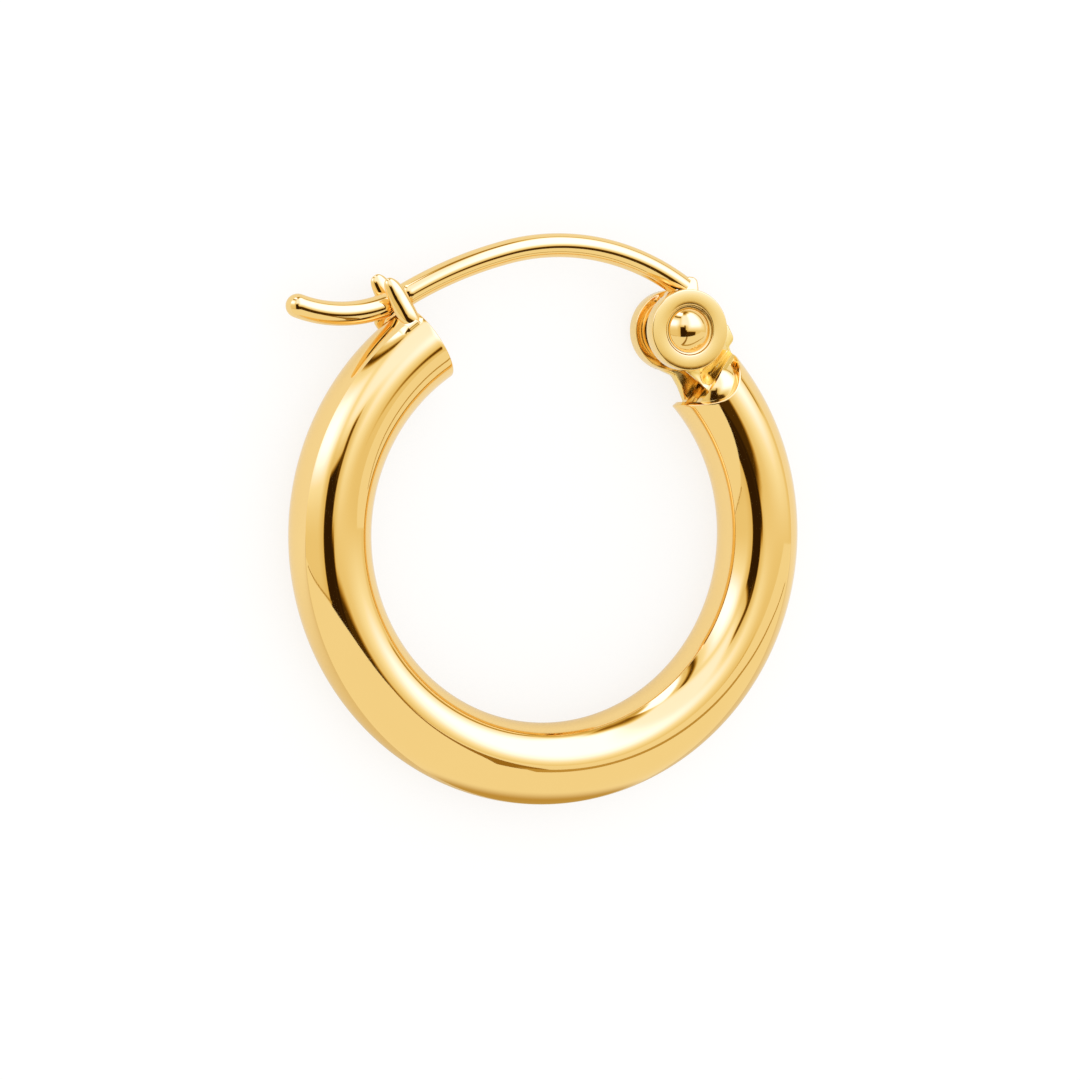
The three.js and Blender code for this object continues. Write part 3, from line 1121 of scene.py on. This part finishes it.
def makeRoom():
    world = bpy.data.worlds.new("room")
    bpy.context.scene.world = world
    world.use_nodes = True
    nodes = world.node_tree.nodes
    links = world.node_tree.links
    background = nodes["Background"]
    direction = nodes.new("ShaderNodeTexCoord")
    split = nodes.new("ShaderNodeSeparateXYZ")
    links.new(direction.outputs["Generated"], split.inputs[0])

    def degrees(operation, *sources):
        turned = nodes.new("ShaderNodeMath")
        turned.operation = operation
        for i, source in enumerate(sources):
            links.new(source, turned.inputs[i])
        scaled = nodes.new("ShaderNodeMath")
        scaled.operation = "MULTIPLY"
        scaled.inputs[1].default_value = math.degrees(1)
        links.new(turned.outputs[0], scaled.inputs[0])
        return scaled.outputs[0]

    azimuth = degrees("ARCTAN2", split.outputs["X"], split.outputs["Z"])
    height = degrees("ARCSINE", split.outputs["Y"])
    patchGroup = makePatchGroup()
    light = None
    for patch in roomPatches:
        node = nodes.new("ShaderNodeGroup")
        node.node_tree = patchGroup
        links.new(azimuth, node.inputs["Azimuth"])
        links.new(height, node.inputs["Height"])
        for name in ("left", "right", "bottom", "top", "soft"):
            node.inputs[name.capitalize()].default_value = patch[name]
        mix = nodes.new("ShaderNodeMix")
        mix.data_type = "FLOAT"
        if light is None:
            mix.inputs[2].default_value = roomBase
        else:
            links.new(light, mix.inputs[2])
        mix.inputs[3].default_value = patch["light"]
        links.new(node.outputs["Mask"], mix.inputs[0])
        light = mix.outputs[0]

    ramp = nodes.new("ShaderNodeValToRGB")
    links.new(light, ramp.inputs["Fac"])
    steps = ramp.color_ramp.elements
    while len(steps) > 1:
        steps.remove(steps[-1])
    for i, (place, colour) in enumerate(lightSteps):
        step = steps[0] if i == 0 else steps.new(place)
        step.position = place
        step.color = (*[value / studio["mirrorStrength"] for value in colour], 1)
    panels = nodes.new("ShaderNodeBackground")
    links.new(ramp.outputs["Color"], panels.inputs["Color"])
    panels.inputs["Strength"].default_value = studio["mirrorStrength"]

    # the floor is lit evenly, and only mirrored rays see the panels
    background.inputs["Color"].default_value = (*studio["softLight"], 1)
    ray = nodes.new("ShaderNodeLightPath")
    pick = nodes.new("ShaderNodeMixShader")
    links.new(ray.outputs["Is Glossy Ray"], pick.inputs["Fac"])
    links.new(background.outputs["Background"], pick.inputs[1])
    links.new(panels.outputs["Background"], pick.inputs[2])
    links.new(pick.outputs["Shader"], nodes["World Output"].inputs["Surface"])
    world.cycles.sampling_method = "NONE"


def mattGlow(name, colour, strength):
    # a matt surface that gives light of its own
    material = bpy.data.materials.new(name)
    material.use_nodes = True
    shader = material.node_tree.nodes["Principled BSDF"]
    shader.inputs["Base Color"].default_value = (*colour, 1)
    shader.inputs["Roughness"].default_value = 1
    shader.inputs["Specular IOR Level"].default_value = 0
    shader.inputs["Emission Strength"].default_value = strength
    return material


def fadeBetween(tree, value, start, end):
    # from 0 to 1 as the value goes from start to end
    fade = tree.nodes.new("ShaderNodeMapRange")
    fade.interpolation_type = "SMOOTHSTEP"
    fade.inputs["From Min"].default_value = start
    fade.inputs["From Max"].default_value = end
    tree.links.new(value, fade.inputs["Value"])
    return fade.outputs["Result"]


def blendColours(tree, share, first, second):
    # each is a colour, or the output of another blend
    blend = tree.nodes.new("ShaderNodeMix")
    blend.data_type = "RGBA"
    tree.links.new(share, blend.inputs[0])
    for socket, colour in ((blend.inputs[6], first), (blend.inputs[7], second)):
        if isinstance(colour, (tuple, list)):
            socket.default_value = (*colour, 1)
        else:
            tree.links.new(colour, socket)
    return blend.outputs[2]


def makeFloor():
    deselectAll()
    bpy.ops.mesh.primitive_plane_add(size=studio["floorSize"], location=(0, 0, 0))
    floor = bpy.context.object
    floor.name = "floor"
    material = mattGlow("floor", studio["floorColour"], studio["floorGlow"])
    tree = material.node_tree
    # painted reflection: where the gold mirrors it the floor glows dimmer, and darker and warmer the nearer
    # it is to the card
    place = tree.nodes.new("ShaderNodeTexCoord")
    split = tree.nodes.new("ShaderNodeSeparateXYZ")
    tree.links.new(place.outputs["Object"], split.inputs[0])
    cardLevel = hoopCentre.y - studio["cardDrop"] / 1000
    share = fadeBetween(tree, split.outputs["Y"], cardLevel, cardLevel + studio["floorFade"] / 1000)
    mirrored = blendColours(tree, share, studio["floorPaintedReflectionNearCard"], studio["floorPaintedReflection"])
    ray = tree.nodes.new("ShaderNodeLightPath")
    glow = blendColours(tree, ray.outputs["Is Glossy Ray"], studio["floorSeen"], mirrored)
    tree.links.new(glow, tree.nodes["Principled BSDF"].inputs["Emission Color"])
    floor.data.materials.append(material)


def shadeCard(material, light, shade):
    # the hoop's own shade on the card, under its lowest point
    tree = material.node_tree
    place = tree.nodes.new("ShaderNodeTexCoord")
    squash = tree.nodes.new("ShaderNodeVectorMath")
    squash.operation = "MULTIPLY"
    squash.inputs[1].default_value = (shade["squash"], 1, 1)
    tree.links.new(place.outputs["Object"], squash.inputs[0])
    distance = tree.nodes.new("ShaderNodeVectorMath")
    distance.operation = "DISTANCE"
    cardLevel = hoopCentre.y - studio["cardDrop"] / 1000
    distance.inputs[1].default_value = (hoopCentre.x * shade["squash"], cardLevel, 0)
    tree.links.new(squash.outputs["Vector"], distance.inputs[0])
    share = fadeBetween(tree, distance.outputs["Value"], shade["inner"] / 1000, shade["outer"] / 1000)
    glow = blendColours(tree, share, lightColour(shade["light"]), lightColour(light))
    tree.links.new(glow, tree.nodes["Principled BSDF"].inputs["Emission Color"])


def hangForMirror(card, light, shade=None):
    # placed in millimetres from the hoop's centre, and seen only by what mirrors it
    settle(card)
    material = mattGlow(card.name, (0, 0, 0), 1)
    shader = material.node_tree.nodes["Principled BSDF"]
    shader.inputs["Emission Color"].default_value = (*lightColour(light), 1)
    if shade:
        shadeCard(material, light, shade)
    material.cycles.emission_sampling = "NONE"
    card.data.materials.append(material)
    card.visible_camera = False
    card.visible_diffuse = False
    card.visible_shadow = False


def makeCard():
    # a pale card below the hoop's lower side, its front edge square to the camera
    deselectAll()
    level = -studio["cardDrop"]
    size = studio["cardSize"]
    middle = size / 2 - hoopCentre.z * 1000
    bpy.ops.mesh.primitive_plane_add(size=size, location=(0, level, middle), rotation=(math.pi / 2, 0, 0))
    card = bpy.context.object
    card.name = "reflectorCard"
    applyPlace()
    turn = math.radians(studio["cardTurn"])
    towards = Vector((-math.sin(turn), 0, math.cos(turn)))
    editMode()
    bpy.ops.mesh.select_all(action="SELECT")
    bpy.ops.mesh.bisect(plane_co=towards * studio["cardReach"], plane_no=towards, clear_outer=True)
    objectMode()
    hangForMirror(card, studio["cardLight"], studio["cardShade"])
    for i, tape in enumerate(cardTapes):
        acrossX, acrossZ = tape["across"]
        above = level + studio["tapeLift"] + studio["tapeStep"] * i
        edge = [(x - acrossX / 2, above, z - acrossZ / 2) for x, z in tape["points"]]
        strip = startWire(f"cardTape{i + 1}", edge)
        bpy.ops.mesh.select_all(action="SELECT")
        bpy.ops.mesh.extrude_region_move(TRANSFORM_OT_translate={"value": (acrossX, 0, acrossZ)})
        objectMode()
        hangForMirror(strip, tape["light"])


makeRoom()
makeFloor()
makeCard()
bpy.context.scene.view_settings.view_transform = "Standard"
print("studio lit")
